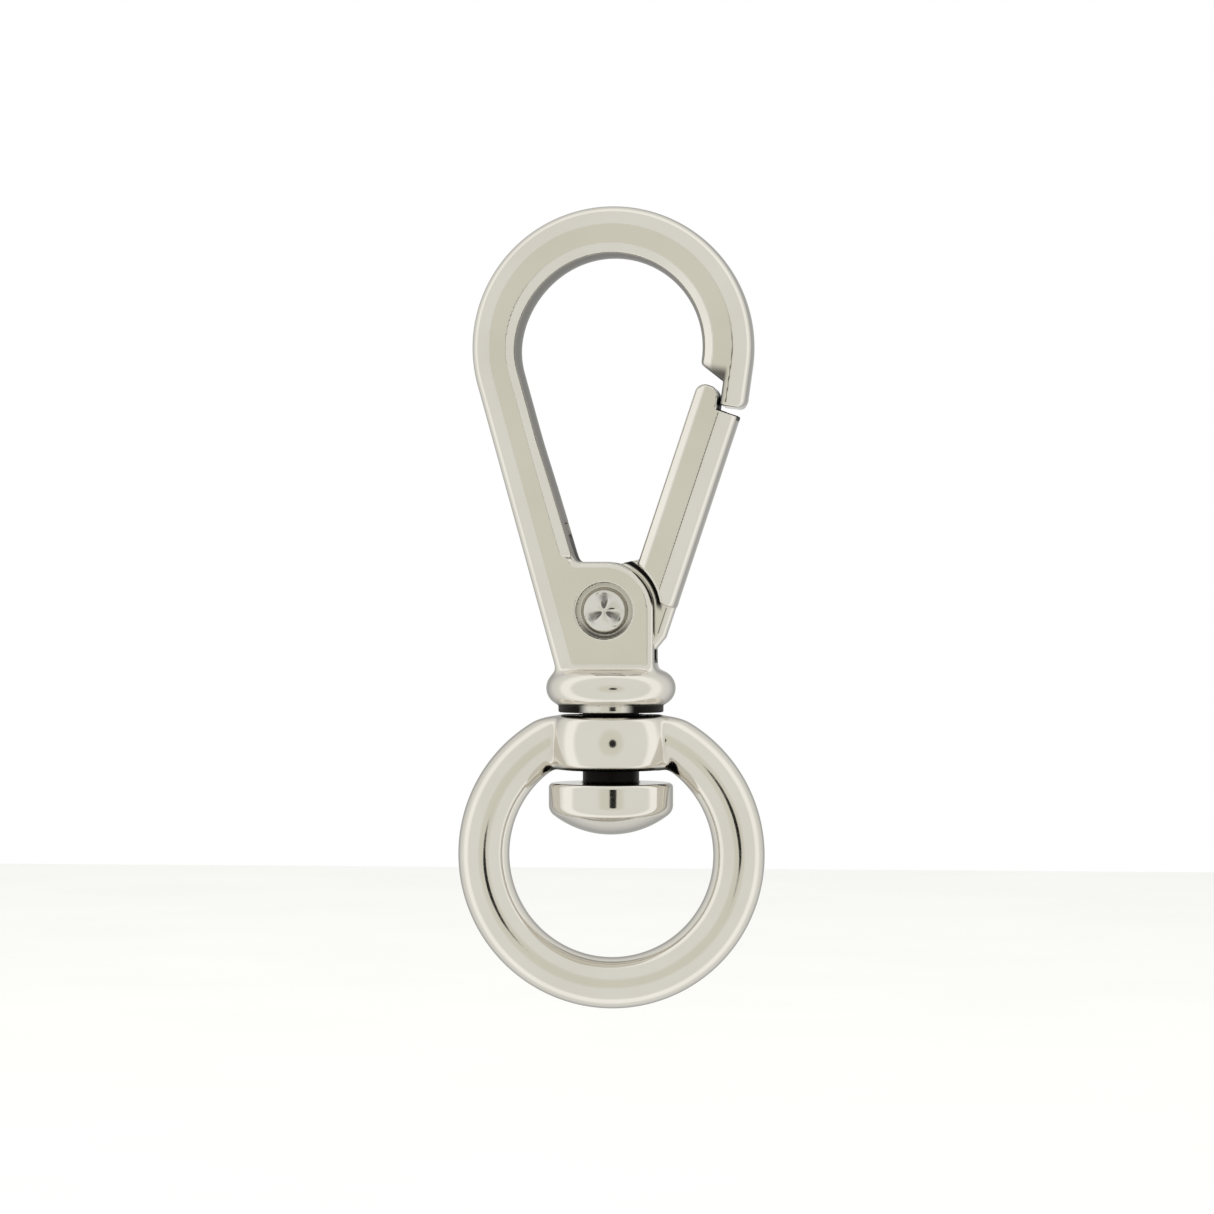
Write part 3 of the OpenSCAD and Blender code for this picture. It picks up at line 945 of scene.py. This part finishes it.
wire_steel = plated("spring_wire_steel", WIRE, WIRE_DULL_AND_SHADED, 0.22, 900, (0.0, 0.9, 0.2))
spring_piece = spring()
put(spring_piece, "hook", "spring_steel", wire_steel, "gate_spring")
leg_piece = spring_leg()
put(leg_piece, "gate", "spring_steel", wire_steel, "gate_spring")


# ---------------------------------------------------------------- stage
CAMERA_TURN = math.radians(6)
FLAG_TURN = math.radians(9.5)
FLAG_INNER, FLAG_OUTER = 6.6, 7.4
BEIGE, SOFT, WHITE = (0.735, 0.732, 0.65), (0.83, 0.83, 0.79), (1.06, 1.055, 1.02)
GREY, DARK = (0.74, 0.74, 0.72), (0.42, 0.42, 0.41)
# colour of the tent by degrees away from the way to the camera
TENT = [
    (0, BEIGE), (18, BEIGE), (27, SOFT), (72, SOFT), (80, WHITE), (96, WHITE), (108, SOFT),
    (126, GREY), (150, DARK), (164, DARK), (180, GREY),
]


def tent_colour(tree):
    """The tent's colour in each direction, with one small dark round flag near the camera."""
    split = tree.nodes.new("ShaderNodeSeparateXYZ")
    feed(tree, split.inputs["Vector"], tree.nodes.new("ShaderNodeTexCoord").outputs["Generated"])
    x, y, z = split.outputs
    ahead = weighted(tree, (x, math.sin(CAMERA_TURN)), (y, -math.cos(CAMERA_TURN)))
    aside = weighted(tree, (x, math.cos(FLAG_TURN)), (y, math.sin(FLAG_TURN)))
    share = math_node(tree, "DIVIDE", math_node(tree, "ARCCOSINE", ahead), math.pi)
    tent = ramp(tree, share, [(degrees / 180, colour) for degrees, colour in TENT])
    off_flag = math_node(tree, "SQRT", math_node(
        tree, "ADD", math_node(tree, "MULTIPLY", aside, aside), math_node(tree, "MULTIPLY", z, z)))
    inner, outer = math.sin(math.radians(FLAG_INNER)), math.sin(math.radians(FLAG_OUTER))
    flag = ramp(tree, off_flag, [(inner, 0.02), (outer, 1)])
    front = math_node(tree, "GREATER_THAN", ahead, 0.5)
    return mixed(tree, front, tent, flag, "MULTIPLY")


def white_world():
    """A soft white tent that lights the object, and plain white where the camera looks past it."""
    world = bpy.data.worlds.new("tent")
    bpy.context.scene.world = world
    world.use_nodes = True
    tree = world.node_tree
    tree.nodes.clear()
    tent = tree.nodes.new("ShaderNodeBackground")
    feed(tree, tent.inputs["Color"], tent_colour(tree))
    plain = tree.nodes.new("ShaderNodeBackground")
    plain.inputs["Color"].default_value = (1, 1, 1, 1)
    pick = tree.nodes.new("ShaderNodeMixShader")
    feed(tree, pick.inputs["Fac"], tree.nodes.new("ShaderNodeLightPath").outputs["Is Camera Ray"])
    feed(tree, pick.inputs[1], tent.outputs[0])
    feed(tree, pick.inputs[2], plain.outputs[0])
    feed(tree, tree.nodes.new("ShaderNodeOutputWorld").inputs["Surface"], pick.outputs[0])


def floor():
    """A pale sheet of paper under the object, which the plating doesn't reflect."""
    half = 0.6
    z = cad_low.z - 0.03
    corners = [(-half, -half, z), (half, -half, z), (half, half, z), (-half, half, z)]
    mesh = bpy.data.meshes.new("floor")
    mesh.from_pydata(corners, [], [(0, 1, 2, 3)])
    made = bpy.data.objects.new("floor", mesh)
    bpy.context.scene.collection.objects.link(made)
    paper, tree, shader = material("floor_paper")
    place = tree.nodes.new("ShaderNodeTexCoord").outputs["Object"]
    tone = ramp(tree, noise(tree, place, 30), [(0.3, 0.97), (0.7, 0.99)])
    feed(tree, shader.inputs["Base Color"], tone)
    shader.inputs["Roughness"].default_value = 0.9
    mesh.materials.append(paper)
    made.visible_glossy = False


def studio_light():
    """A wide round softbox above, to the left and in front, which the plating doesn't reflect."""
    data = bpy.data.lights.new("softbox", "AREA")
    data.shape = "DISK"
    data.size = 0.9
    data.energy = 3.0
    made = bpy.data.objects.new("softbox", data)
    made.location = (-0.15, -0.25, 0.9)
    made.rotation_euler = Vector((0.15, 0.25, -0.88)).to_track_quat("-Z", "Y").to_euler()
    made.visible_glossy = False
    bpy.context.scene.collection.objects.link(made)


def camera():
    """The photo's view: level, and turned a little to the gate's side."""
    distance, view_height = 0.30, 0.0947
    middle = Vector((-0.00031, 0, 0.0193))
    data = bpy.data.cameras.new("camera")
    data.sensor_width = 36
    data.lens = data.sensor_width * distance / view_height
    made = bpy.data.objects.new("camera", data)
    turned = Vector((math.sin(CAMERA_TURN), -math.cos(CAMERA_TURN), 0))
    made.location = middle + distance * turned
    made.rotation_euler = (math.pi / 2, 0, CAMERA_TURN)
    bpy.context.scene.collection.objects.link(made)
    bpy.context.scene.camera = made


white_world()
floor()
studio_light()
camera()
bpy.context.scene.view_settings.view_transform = "Standard"
